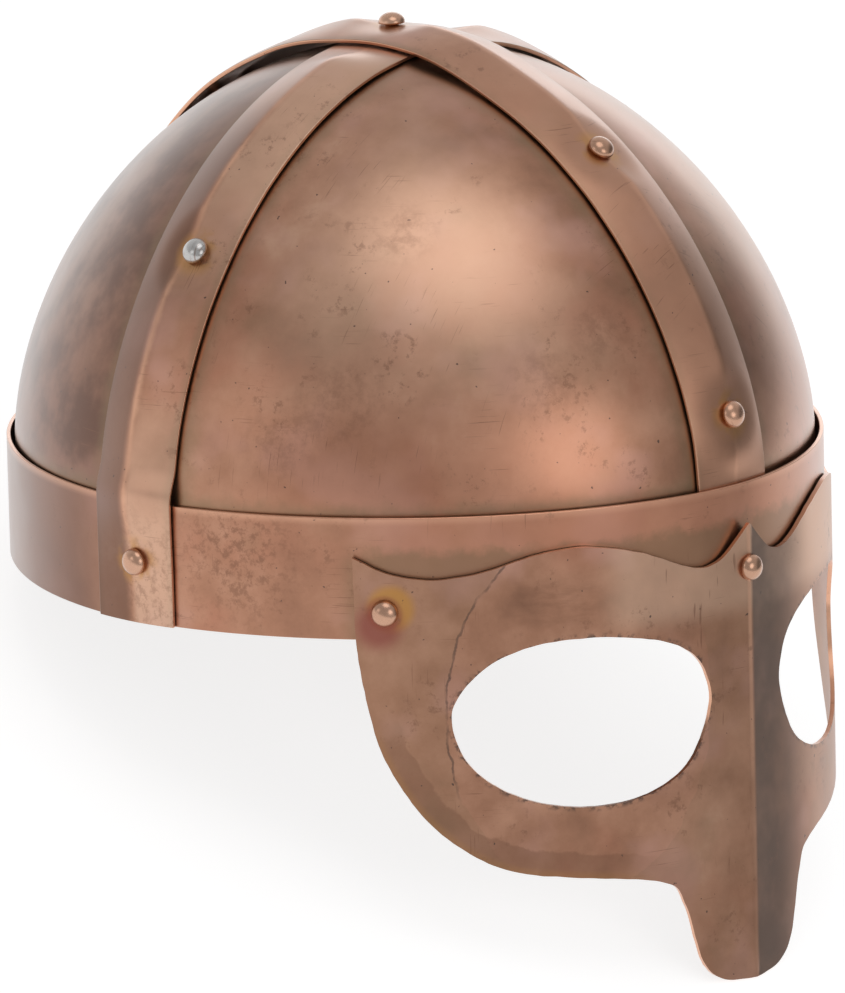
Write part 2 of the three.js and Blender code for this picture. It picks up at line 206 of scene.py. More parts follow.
def helmetMillimetres(tree):  # object coordinates turned back to the upright helmet, in mm
    upright = leanBack.inverted()
    where = addNode(tree, "ShaderNodeTexCoord").outputs["Object"]
    mapping = addNode(tree, "ShaderNodeMapping", {
        "Vector": where,
        "Location": -(upright @ setDown) * 1000,
        "Rotation": (lean, 0, 0),
        "Scale": (1000, 1000, 1000),
    })
    return mapping.outputs["Vector"]


def calculate(tree, operation, first, second=0.0, third=0.0, clamp=False):
    node = addNode(tree, "ShaderNodeMath", operation=operation, use_clamp=clamp)
    for socket, value in zip(node.inputs, (first, second, third)):
        if isinstance(value, bpy.types.NodeSocket):
            tree.links.new(value, socket)
        else:
            socket.default_value = value
    return node.outputs["Value"]


def times(tree, product, *others):  # several masks or numbers multiplied
    for other in others:
        product = calculate(tree, "MULTIPLY", product, other)
    return product


def fade(tree, value, low, high):  # 0 at low, 1 at high, smooth between
    node = addNode(tree, "ShaderNodeMapRange", {"Value": value}, interpolation_type="SMOOTHSTEP")
    flip = low > high
    node.inputs["From Min"].default_value = high if flip else low
    node.inputs["From Max"].default_value = low if flip else high
    node.inputs["To Min"].default_value = 1.0 if flip else 0.0
    node.inputs["To Max"].default_value = 0.0 if flip else 1.0
    return node.outputs["Result"]


def cloud(tree, where, size, detail=4.0, rough=0.55, stretch=(1, 1, 1), shift=0.0):
    mapping = addNode(tree, "ShaderNodeMapping", {
        "Vector": where,
        "Location": (shift, shift * 0.7, -shift),
        "Scale": tuple(1 / (size * s) for s in stretch),
    })
    grain = addNode(tree, "ShaderNodeTexNoise", {
        "Vector": mapping.outputs["Vector"],
        "Scale": 1.0,
        "Detail": detail,
        "Roughness": rough,
    })
    return grain.outputs["Fac"]


def spot(tree, where, centre, inner, outer):  # 1 within inner of a place, 0 past outer
    away = addNode(tree, "ShaderNodeVectorMath", operation="DISTANCE")
    tree.links.new(where, away.inputs[0])
    away.inputs[1].default_value = centre
    return fade(tree, away.outputs["Value"], outer, inner)


def tint(tree, amount, first, second):
    node = addNode(tree, "ShaderNodeMix", data_type="RGBA")
    for socket, value in zip((node.inputs[0], node.inputs[6], node.inputs[7]), (amount, first, second)):
        if isinstance(value, bpy.types.NodeSocket):
            tree.links.new(value, socket)
        elif isinstance(value, tuple):
            socket.default_value = (*value, 1)
        else:
            socket.default_value = value
    return node.outputs[2]


def tones(tree, value, stops):  # a colour ramp
    node = addNode(tree, "ShaderNodeValToRGB", {"Fac": value})
    elements = node.color_ramp.elements
    while len(elements) < len(stops):
        elements.new(0.5)
    for element, (position, colour) in zip(elements, stops):
        element.position = position
        element.color = (*colour, 1)
    return node.outputs["Color"]


copper = {
    "deep": (0.205, 0.095, 0.056),
    "brown": (0.400, 0.197, 0.120),
    "pink": (0.525, 0.280, 0.182),
    "cream": (0.76, 0.500, 0.358),
    "red": (0.43, 0.175, 0.105),
    "ruddy": (0.60, 0.262, 0.160),
    "rose": (0.56, 0.305, 0.240),
    "olive": (0.225, 0.155, 0.085),
    "umber": (0.125, 0.056, 0.034),
    # the nasal's dark colour: painted shade for a dark reflection, over some real patina
    "patinaShade": (0.078, 0.045, 0.029),
    "soot": (0.060, 0.042, 0.038),
    "worn": (0.88, 0.49, 0.32),
    "heatGold": (0.52, 0.25, 0.055),
    "heatRed": (0.26, 0.055, 0.045),
    "steel": (0.50, 0.49, 0.48),
    "roughness": 0.34,
    "roughnessSpread": 0.2,
    "lacquer": 0.4,
    "lacquerRoughness": 0.3,
    "haze": 0.55,            # gloss that the lacquer gains towards a piece's outline
    "redShare": 0.55,        # how strongly each cloud of colour shows
    "roseShare": 0.55,
    "oliveShare": 0.35,
    "smudgeShare": 0.5,
    "speckShare": 0.8,
    "scratchShare": 0.55,
    "bump": 0.35,
    "dents": 7.0,            # height of the broad dents against the fine grain
    "grainDepth": 0.02,      # mm
}


def stain(tree, colour, shade, *amounts):  # tints towards one of the copper colours
    return tint(tree, times(tree, *amounts), colour, copper[shade])


def uvMillimetres(tree, layer):
    where = addNode(tree, "ShaderNodeUVMap", uv_map=layer).outputs["UV"]
    return addNode(tree, "ShaderNodeSeparateXYZ", {"Vector": where}).outputs


def sheetFinish(name, dress, haze=copper["haze"]):
    material = bpy.data.materials.new(name)
    material.use_nodes = True
    tree = material.node_tree
    shader = tree.nodes["Principled BSDF"]
    shader.inputs["Metallic"].default_value = 1.0
    shader.inputs["Coat Roughness"].default_value = copper["lacquerRoughness"]
    facing = addNode(tree, "ShaderNodeLayerWeight", {"Blend": 0.5}).outputs["Facing"]
    gloss = calculate(tree, "MULTIPLY_ADD", fade(tree, facing, 0.4, 0.85), haze, copper["lacquer"])
    tree.links.new(gloss, shader.inputs["Coat Weight"])
    where = helmetMillimetres(tree)
    axes = addNode(tree, "ShaderNodeSeparateXYZ", {"Vector": where}).outputs
    broad = cloud(tree, where, 42, 2, 0.45)
    fine = cloud(tree, where, 14, 6, 0.6, shift=7)
    mixed = calculate(tree, "MULTIPLY_ADD", fine, 0.5, times(tree, broad, 0.5))
    colour = tones(tree, mixed, (
        (0.22, copper["deep"]), (0.46, copper["brown"]), (0.62, copper["pink"]),
        (0.86, copper["cream"]),
    ))
    flush = fade(tree, cloud(tree, where, 33, 3, 0.5, shift=43), 0.48, 0.72)
    colour = stain(tree, colour, "red", flush, copper["redShare"])
    bloom = fade(tree, cloud(tree, where, 29, 3, 0.5, shift=97), 0.5, 0.68)
    colour = stain(tree, colour, "rose", bloom, copper["roseShare"])
    age = fade(tree, cloud(tree, where, 24, 4, 0.55, shift=61), 0.54, 0.78)
    colour = stain(tree, colour, "olive", age, copper["oliveShare"])
    smoothest = copper["roughness"] - copper["roughnessSpread"] / 2
    dull = calculate(tree, "MULTIPLY_ADD", fine, copper["roughnessSpread"], smoothest)
    colour, dull = dress(tree, where, axes, colour, dull)

    patches = fade(tree, cloud(tree, where, 17, 2, 0.5, shift=3), 0.52, 0.66)
    smudge = fade(tree, cloud(tree, where, 3.4, 6, 0.75, shift=31), 0.53, 0.64)
    colour = stain(tree, colour, "deep", smudge, patches, copper["smudgeShare"])
    speck = fade(tree, cloud(tree, where, 1.5, 1, 0.5, shift=37), 0.77, 0.81)
    colour = stain(tree, colour, "soot", speck, copper["speckShare"])
    for stretch, shift in (((14, 14, 0.35), 71), ((12, 0.35, 12), 83)):
        scratch = fade(tree, cloud(tree, where, 1, 2, 0.5, stretch, shift), 0.66, 0.72)
        patch = fade(tree, cloud(tree, where, 28, 1, 0.5, shift=shift + 5), 0.54, 0.66)
        colour = stain(tree, colour, "deep", scratch, patch, copper["scratchShare"])
    tree.links.new(colour, shader.inputs["Base Color"])
    tree.links.new(dull, shader.inputs["Roughness"])

    grain = cloud(tree, where, 0.8, 4, 0.6, shift=11)
    dents = cloud(tree, where, 17, 2, 0.4, shift=19)
    bump = addNode(tree, "ShaderNodeBump", {
        "Height": calculate(tree, "MULTIPLY_ADD", dents, copper["dents"], grain),
        "Strength": copper["bump"],
        "Distance": copper["grainDepth"] / 1000,
    })
    tree.links.new(bump.outputs["Normal"], shader.inputs["Normal"])
    return material


def faceOutwards(shape):
    bmesh.ops.recalc_face_normals(shape, faces=shape.faces)
    axis = Vector((0, 0, skull["wall"]))
    facing = sum(face.normal.dot(face.calc_center_median() - axis) for face in shape.faces)
    if facing < 0:
        bmesh.ops.reverse_faces(shape, faces=shape.faces)


def layFlat(shape, name, place):  # a UV layer in mm, from the places of the still flat sheet
    layer = shape.loops.layers.uv.new(name)
    for face in shape.faces:
        for loop in face.loops:
            loop[layer].uv = place(loop.vert.co)


def finishedPiece(name, shape, finish, node, thick=True):
    bmesh.ops.transform(shape, matrix=helmetPlace, verts=shape.verts)
    mesh = bpy.data.meshes.new(name)
    shape.to_mesh(mesh)
    shape.free()
    mesh.polygons.foreach_set("use_smooth", [True] * len(mesh.polygons))
    mesh.materials.append(finish)
    piece = bpy.data.objects.new(name, mesh)
    bpy.context.collection.objects.link(piece)
    if thick:
        mesh.materials.append(edgeFinish)
        wall = piece.modifiers.new("sheet", "SOLIDIFY")
        wall.thickness = sheet["thickness"] / 1000
        wall.offset = -1
        wall.material_offset_rim = 1
        rounding = piece.modifiers.new("edges", "BEVEL")
        rounding.width = sheet["edgeRound"] / 1000
        rounding.segments = sheet["roundSteps"]
        rounding.limit_method = "ANGLE"
        rounding.angle_limit = math.radians(sheet["roundAngle"])
        rounding.harden_normals = True
    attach(piece, "root")
    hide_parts(node)
    return piece


# Skull plates: a quarter of the dome each, hammered a little uneven
plate = {
    "around": 60,
    "upWall": 8,
    "upDome": 44,
    "seam": 0.6,
    "dent": 0.22,
    "dentSize": 34.0,
    "smudges": (             # dark handling marks: where, and how wide
        ((-88.2, -54.4, 62.7), 17), ((-48.8, -92.8, 66.1), 15), ((-60.0, -52.0, 105.0), 13),
        ((-97.0, -40.0, 52.0), 15), ((-30.0, -96.0, 78.0), 12), ((60.0, -80.0, 68.0), 18),
        ((92.0, -44.0, 60.0), 15), ((44.0, -46.0, 112.0), 12), ((-74.0, 70.0, 62.0), 18),
        ((66.0, 76.0, 70.0), 16), ((40.0, 60.0, 108.0), 14), ((-96.0, 30.0, 66.0), 14),
    ),
    "smudgeShare": 0.36,
    "middle": (14, 46),      # mm from the seams, where a plate's middle begins and is reached
    # the next rise and the cream share paint a highlight: cream on the upper middle of every plate
    "highlightRise": (50, 92),   # heights in mm between which a tone comes in
    "creamShare": 0.4,
    "ruddyRise": (80, 46),
    "ruddyShare": 0.42,
    # painted shade: the rear plates are tinted dark umber, standing in for the dark surroundings they
    # reflect
    "rearShadeStart": (-12, 20),
    "rearShadeShare": 0.66,
    "rearShadeMottle": 0.32,
    # painted shade: the next two darken the top of the dome
    "crownShadeRise": (104, 132),
    "crownShadeShare": 0.2,
    "seamWander": 7,         # mm that the olive edge of a plate strays
    "seamEdge": (17, 8),
    "seamShare": 0.62,
    "rimEdge": (35, 29),
    "rimShare": 0.6,
}


def domePoint(turn, climb, left, rear):  # climb runs from 0 at the foot over 1 at the wall's top to 2
    if climb < 1:
        out, height = 1.0, skull["foot"] + (skull["wall"] - skull["foot"]) * climb
    else:
        angle = (climb - 1) * math.pi / 2
        out = math.cos(angle) ** (2 / skull["shoulderPower"]) if climb < 2 else 0.0
        height = skull["wall"] + rise * math.sin(angle) ** (2 / skull["risePower"])
    point = planPoint(turn, skull["halfWidth"] * out, skull["halfLength"] * out)
    return Vector((left * abs(point.x), rear * abs(point.y), height))


def skullPlate(name, left, rear):
    shape = bmesh.new()
    rows = plate["upWall"] + plate["upDome"]
    bmesh.ops.create_grid(shape, x_segments=plate["around"], y_segments=rows, size=1)
    for corner in shape.verts:
        row = (corner.co.y + 1) / 2 * rows
        if row < plate["upWall"]:
            climb = row / plate["upWall"]
        else:
            climb = 1 + (row - plate["upWall"]) / plate["upDome"]
        corner.co = domePoint((corner.co.x + 1) * math.pi / 4, min(2, climb), left, rear)
    bmesh.ops.remove_doubles(shape, verts=shape.verts, dist=0.01)
    for axis in (Vector((left, 0, 0)), Vector((0, rear, 0))):
        everything = shape.verts[:] + shape.edges[:] + shape.faces[:]
        bmesh.ops.bisect_plane(shape, geom=everything, dist=0.001, plane_co=axis * plate["seam"] / 2,
                               plane_no=axis, clear_inner=True)
    bmesh.ops.remove_doubles(shape, verts=shape.verts, dist=0.05)
    faceOutwards(shape)
    shape.normal_update()
    for corner in shape.verts:
        dent = 0.5 + 0.5 * noise.noise(corner.co / plate["dentSize"])
        corner.co -= corner.normal * dent * plate["dent"]
    return finishedPiece(name + "_sheet", shape, plateFinish, name)


def plateDress(tree, where, axes, colour, dull):
    aside = calculate(tree, "ABSOLUTE", axes["X"])
    along = calculate(tree, "ABSOLUTE", axes["Y"])
    wander = times(tree, cloud(tree, where, 8, 4, 0.6, shift=23), plate["seamWander"])
    fromSeam = calculate(tree, "SUBTRACT", calculate(tree, "MINIMUM", aside, along), wander)
    centre = fade(tree, fromSeam, *plate["middle"])
    # painted highlight: the middle of each plate turns cream towards the top, as if lit from overhead
    upper = fade(tree, axes["Z"], *plate["highlightRise"])
    colour = stain(tree, colour, "cream", centre, upper, plate["creamShare"])
    lower = fade(tree, axes["Z"], *plate["ruddyRise"])
    colour = stain(tree, colour, "ruddy", centre, lower, plate["ruddyShare"])
    # painted shade: the rear half of the dome is tinted dark umber, mottled
    rear = fade(tree, axes["Y"], *plate["rearShadeStart"])
    mottle = fade(tree, cloud(tree, where, 21, 4, 0.6, shift=33), 0.36, 0.64)
    mottle = calculate(tree, "MULTIPLY_ADD", mottle, plate["rearShadeMottle"], plate["rearShadeShare"])
    colour = stain(tree, colour, "umber", rear, mottle)
    # painted shade: the crown is darkened, as if under a darker ceiling
    crown = fade(tree, axes["Z"], *plate["crownShadeRise"])
    colour = stain(tree, colour, "deep", crown, plate["crownShadeShare"])
    grime = fade(tree, cloud(tree, where, 4.6, 6, 0.72, shift=57), 0.40, 0.66)
    for place, size in plate["smudges"]:
        smudge = spot(tree, where, place, size * 0.2, size)
        colour = stain(tree, colour, "deep", smudge, grime, plate["smudgeShare"])
    seam = fade(tree, fromSeam, *plate["seamEdge"])
    colour = stain(tree, colour, "olive", seam, plate["seamShare"])
    rim = fade(tree, calculate(tree, "SUBTRACT", axes["Z"], wander), *plate["rimEdge"])
    return stain(tree, colour, "olive", rim, plate["rimShare"]), dull


def edgeDress(tree, where, axes, colour, dull):
    # the cut edges are brightened: partly worn metal, partly a painted highlight
    return stain(tree, colour, "worn", sheet["edgeShineAndWear"]), dull


plateFinish = sheetFinish("aged copper plate", plateDress)
edgeFinish = sheetFinish("bright cut edge", edgeDress)
skullPlate("plate_front_right", -1, -1)
skullPlate("plate_front_left", 1, -1)
skullPlate("plate_rear_right", -1, 1)
skullPlate("plate_rear_left", 1, 1)
print("skull plates made")


# Straps: a shallow roof in section, pressed flatter round each rivet
strap = {
    "halfWidth": 13.7,
    "ridgeHeight": 3.1,
    "crestRound": 0.6,
    "ridgeRun": 17.0,        # length over which a ridge fades out
    "ridgeLowEnd": 5.0,
    "ridgeSquash": 0.5,
    "squashReach": 11.0,
    "stepRun": 9.0,
    "crossingRun": 30.0,
    "gape": 2.0,             # the long strap's right edge stands off behind the crossing
    "gapeOpens": (12, 40),
    "gapeCloses": (62, 100),
    "across": 24,
    "along": 280,
    "edgeWander": 0.14,
    "wallSteps": 12,
    "domeSteps": 300,
    "crestWander": 2.4,      # mm
    "crestEdge": (0.4, -1.4),
    "crestRise": (8, 34),
    "crestShare": 0.62,
    "rimEdge": (12.2, 14.6),
    "rimShare": 0.35,
    "rightEnd": (-40, -70),
    "backShadeShare": 0.75,       # painted shade: the rear facet is dark at the right end
    # painted shade: the next two darken the strap over the top
    "crownShadeRise": (112, 136),
    "crownShadeShare": 0.1,
    # painted light: the next two tint the front of the strap lighter pink
    "frontStart": (-10, -40),
    "frontShare": 0.6,
    # painted light: cream on the strap's front facet
    "paintedLightShare": 0.45,
    "grimeRise": (40, 14),
    "grimeShare": 0.4,
    "haloReach": (4.2, 8.5),  # heat tints round the rivets
    "haloShare": 0.55,
}
rivet = {
    "head": 3.7,
    "headHeight": 2.76,
    "shank": 1.9,
    "tail": 3.1,
    "tailHeight": 1.0,
    "sag": 0.54,             # room the solids leave for their facets
    "steps": 32,
    "headSteps": 9,
    "skirt": 0.25,           # the head's rim reaches this far down
    "skirtShare": 0.97,
    "tailSide": 0.6,
    "tailEnd": 0.75,
    "creamShare": 0.32,
    "shine": 0.08,
}


def strapLine(reach, foot):
    wall, dome = strap["wallSteps"], strap["domeSteps"]
    half = [Vector((-reach, foot + (skull["wall"] - foot) * i / wall, 0)) for i in range(wall)]
    for i in range(dome):
        angle = i / dome * math.pi / 2
        out = reach * math.cos(angle) ** (2 / skull["shoulderPower"])
        height = skull["wall"] + rise * math.sin(angle) ** (2 / skull["risePower"])
        half.append(Vector((-out, height, 0)))
    top = Vector((0, skull["top"], 0))
    return half + [top] + [Vector((-p.x, p.y, 0)) for p in reversed(half)]


def strapPlan(reach, foot, heading, lift, ridgeShare):
    line = strapLine(reach, foot)
    lengths = runningLengths(line)
    return {
        "line": line,
        "lengths": lengths,
        "length": lengths[-1],
        "foot": foot,
        "heading": heading,
        "sideways": Vector((-heading.y, heading.x, 0)),
        "lift": lift,
        "ridgeShare": ridgeShare,
        "gape": lambda distance, aside: 0.0,
        "rivets": [],
    }


def stationOn(plan, share):
    at, ahead = pointAlong(plan["line"], plan["lengths"], share * plan["length"])
    point = plan["heading"] * at.x + Vector((0, 0, at.y))
    normal = plan["heading"] * -ahead.y + Vector((0, 0, ahead.x))
    return point, normal, abs(at.x), at.y


def pressedAt(plan, share, across):
    most = 0.0
    for _, at, aside in plan["rivets"]:
        distance = math.hypot((share - at) * plan["length"], across - aside)
        most = max(most, 1 - smoothStep(distance, rivet["head"], rivet["head"] + strap["squashReach"]))
    return most


def strapPoint(plan, share, across, above):
    point, normal, out, height = stationOn(plan, share)
    side = plan["sideways"] * across
    sink = depthToSkull(point + side + normal, -normal) - 1
    crest = strap["crestRound"]
    slope = 1 - (math.hypot(across, crest) - crest) / strap["halfWidth"]
    squash = 1 - strap["ridgeSquash"] * pressedAt(plan, share, across)
    ridge = strap["ridgeHeight"] * slope * squash * plan["ridgeShare"](out, height)
    gape = strap["gape"] * plan["gape"](share * plan["length"], across / strap["halfWidth"])
    lift = sheet["seat"] + plan["lift"](out, height) + ridge + gape
    return point + side + normal * (lift - sink + above)


clearOfStrap = strap["halfWidth"] + 1
clearOfBand = bandHeight + 1
sideStrap = strapPlan(
    skull["halfWidth"], 0.0, Vector((1, 0, 0)),
    lambda out, height: layer * (1 - smoothStep(height, clearOfBand, clearOfBand + strap["stepRun"])),
    lambda out, height: smoothStep(out, clearOfStrap, clearOfStrap + strap["ridgeRun"])
    * smoothStep(height, strap["ridgeLowEnd"], strap["ridgeLowEnd"] + 2 * strap["ridgeRun"]),
)
longStrap = strapPlan(
    skull["halfLength"], skull["foot"], Vector((0, 1, 0)),
    lambda out, height: layer * (1 - smoothStep(out, clearOfStrap, clearOfStrap + strap["crossingRun"])),
    lambda out, height: smoothStep(height, bandHeight, bandHeight + strap["ridgeRun"]),
)


def standOff(distance, aside):  # 1 where the right edge gapes most, behind the crown
    behind = distance - longStrap["length"] / 2
    opens, closes = strap["gapeOpens"], strap["gapeCloses"]
    return smoothStep(aside, 0.05, 1.0) * smoothStep(behind, *opens) * (1 - smoothStep(behind, *closes))


longStrap["gape"] = standOff


def setRivet(plan, name, end, way, across):  # way is the share of the way from rim to crown
    half = plan["length"] / 2 + plan["foot"]
    share = (way * half - plan["foot"]) / plan["length"]
    plan["rivets"].append((name, share if end < 0 else 1 - share, across))


for end, side in ((-1, "front"), (1, "rear")):
    setRivet(longStrap, f"rivet_{side}_upper", end, 0.64, 0.0)
    setRivet(longStrap, f"rivet_{side}_lower", end, 0.25, 0.0)
for end, side in ((-1, "right"), (1, "left")):
    setRivet(sideStrap, f"rivet_{side}_upper", end, 0.503, -3.4)
    setRivet(sideStrap, f"rivet_{side}_lower", end, 0.085, -2.0)
longStrap["rivets"].append(("rivet_crown", 0.5 + 4.4 / longStrap["length"], 0.0))


def strapPiece(name, plan):
    shape = bmesh.new()
    bmesh.ops.create_grid(shape, x_segments=strap["across"], y_segments=strap["along"], size=1)
    layFlat(shape, "flat", lambda at: (at.x * strap["halfWidth"], (at.y + 1) / 2 * plan["length"]))
    for corner in shape.verts:
        share = (corner.co.y + 1) / 2
        wave = noise.noise(Vector((share * 40, round(corner.co.x), plan["foot"])))
        across = corner.co.x * (strap["halfWidth"] - strap["edgeWander"] * (0.5 + 0.5 * wave))
        corner.co = strapPoint(plan, share, across, sheet["thickness"])
    faceOutwards(shape)
    return finishedPiece(name + "_sheet", shape, strapFinish, name)


strapRivetPlaces = [
    tuple(strapPoint(plan, share, across, sheet["thickness"]))
    for plan in (sideStrap, longStrap) for _, share, across in plan["rivets"]
]


def strapDress(tree, where, axes, colour, dull):
    across = uvMillimetres(tree, "flat")["X"]
    aside = calculate(tree, "ABSOLUTE", across)
    wander = times(tree, cloud(tree, where, 7, 3, 0.6, shift=29), strap["crestWander"])
    crest = fade(tree, calculate(tree, "SUBTRACT", aside, wander), *strap["crestEdge"])
    onRidge = fade(tree, axes["Z"], *strap["crestRise"])
    broken = fade(tree, cloud(tree, where, 30, 2, 0.5, shift=53), 0.3, 0.66)
    colour = stain(tree, colour, "worn", crest, onRidge, broken, strap["crestShare"])
    rim = fade(tree, calculate(tree, "ADD", aside, wander), *strap["rimEdge"])
    colour = stain(tree, colour, "olive", rim, strap["rimShare"])
    rightEnd = fade(tree, axes["X"], *strap["rightEnd"])
    # painted shade: the rear facet is tinted dark umber towards the right end
    colour = stain(tree, colour, "umber", fade(tree, across, -1, 3), rightEnd, strap["backShadeShare"])
    # painted shade: darker over the crown
    crown = fade(tree, axes["Z"], *strap["crownShadeRise"])
    colour = stain(tree, colour, "deep", crown, strap["crownShadeShare"])
    # painted light: the front of the strap is tinted lighter pink
    front = fade(tree, axes["Y"], *strap["frontStart"])
    colour = stain(tree, colour, "pink", front, strap["frontShare"])
    # painted light: cream on the front facet, high on the right side and low at the right end
    upper = times(tree, fade(tree, axes["Z"], 78, 116), fade(tree, axes["X"], -8, -24))
    lower = times(tree, fade(tree, axes["Z"], 74, 22), rightEnd)
    light = times(tree, fade(tree, across, 0.5, -2), calculate(tree, "ADD", upper, lower))
    colour = stain(tree, colour, "cream", light, strap["paintedLightShare"])
    grime = fade(tree, cloud(tree, where, 2.6, 6, 0.75, shift=15), 0.46, 0.62)
    low = fade(tree, axes["Z"], *strap["grimeRise"])
    colour = stain(tree, colour, "deep", grime, low, strap["grimeShare"])
    for place in strapRivetPlaces:
        halo = spot(tree, where, place, *strap["haloReach"])
        uneven = fade(tree, cloud(tree, where, 5, 2, 0.5, shift=place[0]), 0.38, 0.62)
        colour = stain(tree, colour, "heatGold", halo, uneven, strap["haloShare"])
    return colour, dull


strapFinish = sheetFinish("aged copper strap", strapDress)
strapPiece("side_strap", sideStrap)
strapPiece("front_back_strap", longStrap)
print("straps made")


# Brow band: a ring drawn up from its lower edge
band = {
    "around": 240,
    "rows": 8,
    "dent": 0.12,
    "dentSize": 26.0,
    "grimePlace": (-105, -32, 22),
    "grimeReach": (6, 26),
    "grimeShare": 0.7,
    # painted shade: the next two tint the back of the band dark umber
    "backShadeStart": (-8, 30),
    "backShadeShare": 0.75,
    "frontStart": (-50, -90),
    "frontShare": 0.55,
    "topEdge": (31, 33.4),
    "topShare": 0.4,
    "shelterWander": 9,      # the olive stain above the guard's edge
    "shelterRise": (22, 17),
    "shelterStart": (-57, -64),
    "shelterShare": 0.62,
    "redShare": 0.1,
}


def browBand():
    shape = bmesh.new()
    bmesh.ops.create_circle(shape, segments=band["around"], radius=1)
    for corner in shape.verts:
        corner.co = planPoint(math.atan2(corner.co.y, corner.co.x), *bandOut)
    edges = shape.edges[:]
    for row in range(band["rows"]):
        grown = bmesh.ops.extrude_edge_only(shape, edges=edges)["geom"]
        corners = [item for item in grown if isinstance(item, bmesh.types.BMVert)]
        edges = [item for item in grown if isinstance(item, bmesh.types.BMEdge)]
        bmesh.ops.translate(shape, vec=(0, 0, bandHeight / band["rows"]), verts=corners)
    faceOutwards(shape)
    shape.normal_update()
    for corner in shape.verts:
        dent = 0.5 + 0.5 * noise.noise(corner.co / band["dentSize"])
        corner.co -= corner.normal * dent * band["dent"]
    return finishedPiece("brow_band_sheet", shape, bandFinish, "brow_band")


def bandDress(tree, where, axes, colour, dull):
    grime = fade(tree, cloud(tree, where, 2.4, 6, 0.75, shift=5), 0.46, 0.62)
    place = spot(tree, where, band["grimePlace"], *band["grimeReach"])
    colour = stain(tree, colour, "deep", grime, place, band["grimeShare"])
    # painted shade: the back of the band is tinted dark umber
    back = fade(tree, axes["Y"], *band["backShadeStart"])
    colour = stain(tree, colour, "umber", back, band["backShadeShare"])
    front = fade(tree, axes["Y"], *band["frontStart"])
    colour = stain(tree, colour, "ruddy", front, band["frontShare"])
    top = fade(tree, axes["Z"], *band["topEdge"])
    colour = stain(tree, colour, "worn", top, band["topShare"])
    wander = times(tree, cloud(tree, where, 6, 4, 0.6, shift=67), band["shelterWander"])
    shelter = fade(tree, calculate(tree, "SUBTRACT", axes["Z"], wander), *band["shelterRise"])
    under = fade(tree, axes["Y"], *band["shelterStart"])
    colour = stain(tree, colour, "olive", shelter, under, band["shelterShare"])
    return stain(tree, colour, "red", band["redShare"]), dull


bandFinish = sheetFinish("aged copper band", bandDress)
browBand()
print("brow band made")

# Guard outline tables: shares of reach and rise, of reach and nasal drop, and so on
browLine = (
    (0, 1), (0.06, 0.72), (0.1, 0.6), (0.147, 0.575), (0.2, 0.65), (0.3, 0.86), (0.4, 0.985),
    (0.485, 1.02), (0.58, 0.96), (0.68, 0.82), (0.75, 0.75), (0.83, 0.73), (0.92, 0.81), (1, 1),
)
cheekLine = (
    (0.996, 0), (0.987, 0.08), (0.968, 0.19), (0.943, 0.29), (0.9, 0.384), (0.84, 0.477),
    (0.766, 0.55), (0.685, 0.603), (0.61, 0.63), (0.52, 0.646), (0.4, 0.664), (0.31, 0.68),
)
nasalLine = (
    (1.34, 0.696), (1.18, 0.717), (1.08, 0.76), (1, 0.807), (0.91, 0.878), (0.8, 0.937),
    (0.62, 0.975), (0.36, 0.994), (0, 1),
)
eyeLine = (
    (-1, 0), (-0.93, 0.48), (-0.72, 0.77), (-0.386, 0.93), (0, 1), (0.38, 0.96), (0.7, 0.78),
    (0.92, 0.46), (1, 0.12), (0.9, -0.36), (0.65, -0.71), (0.31, -0.925), (-0.1, -1),
    (-0.5, -0.91), (-0.82, -0.61),
)


def bendRound(flat, depth):  # from the flat sheet, x along and y up, to its place round the face
    at, ahead = pointAlong(guardPlan, guardLengths, abs(flat.x))
    out = Vector((ahead.y, -ahead.x, 0)) if abs(flat.x) > 0.001 else Vector((0, -1, 0))
    place = at + out * depth
    return Vector((math.copysign(place.x, flat.x), place.y, flat.y))


def edgeLoop(shape, points, closed):
    corners = [shape.verts.new((p.x, p.y, 0)) for p in points]
    return [shape.edges.new(pair) for pair in zip(corners, corners[1:] + corners[:1] * closed)]


def pointFinder(points):  # finds the nearest place on a line, halfway points added
    halves = [(a + b) / 2 for a, b in zip(points, points[1:])]
    finder = kdtree.KDTree(len(points) + len(halves))
    for i, point in enumerate(points + halves):
        finder.insert((point.x, point.y, 0), i)
    finder.balance()
    return finder


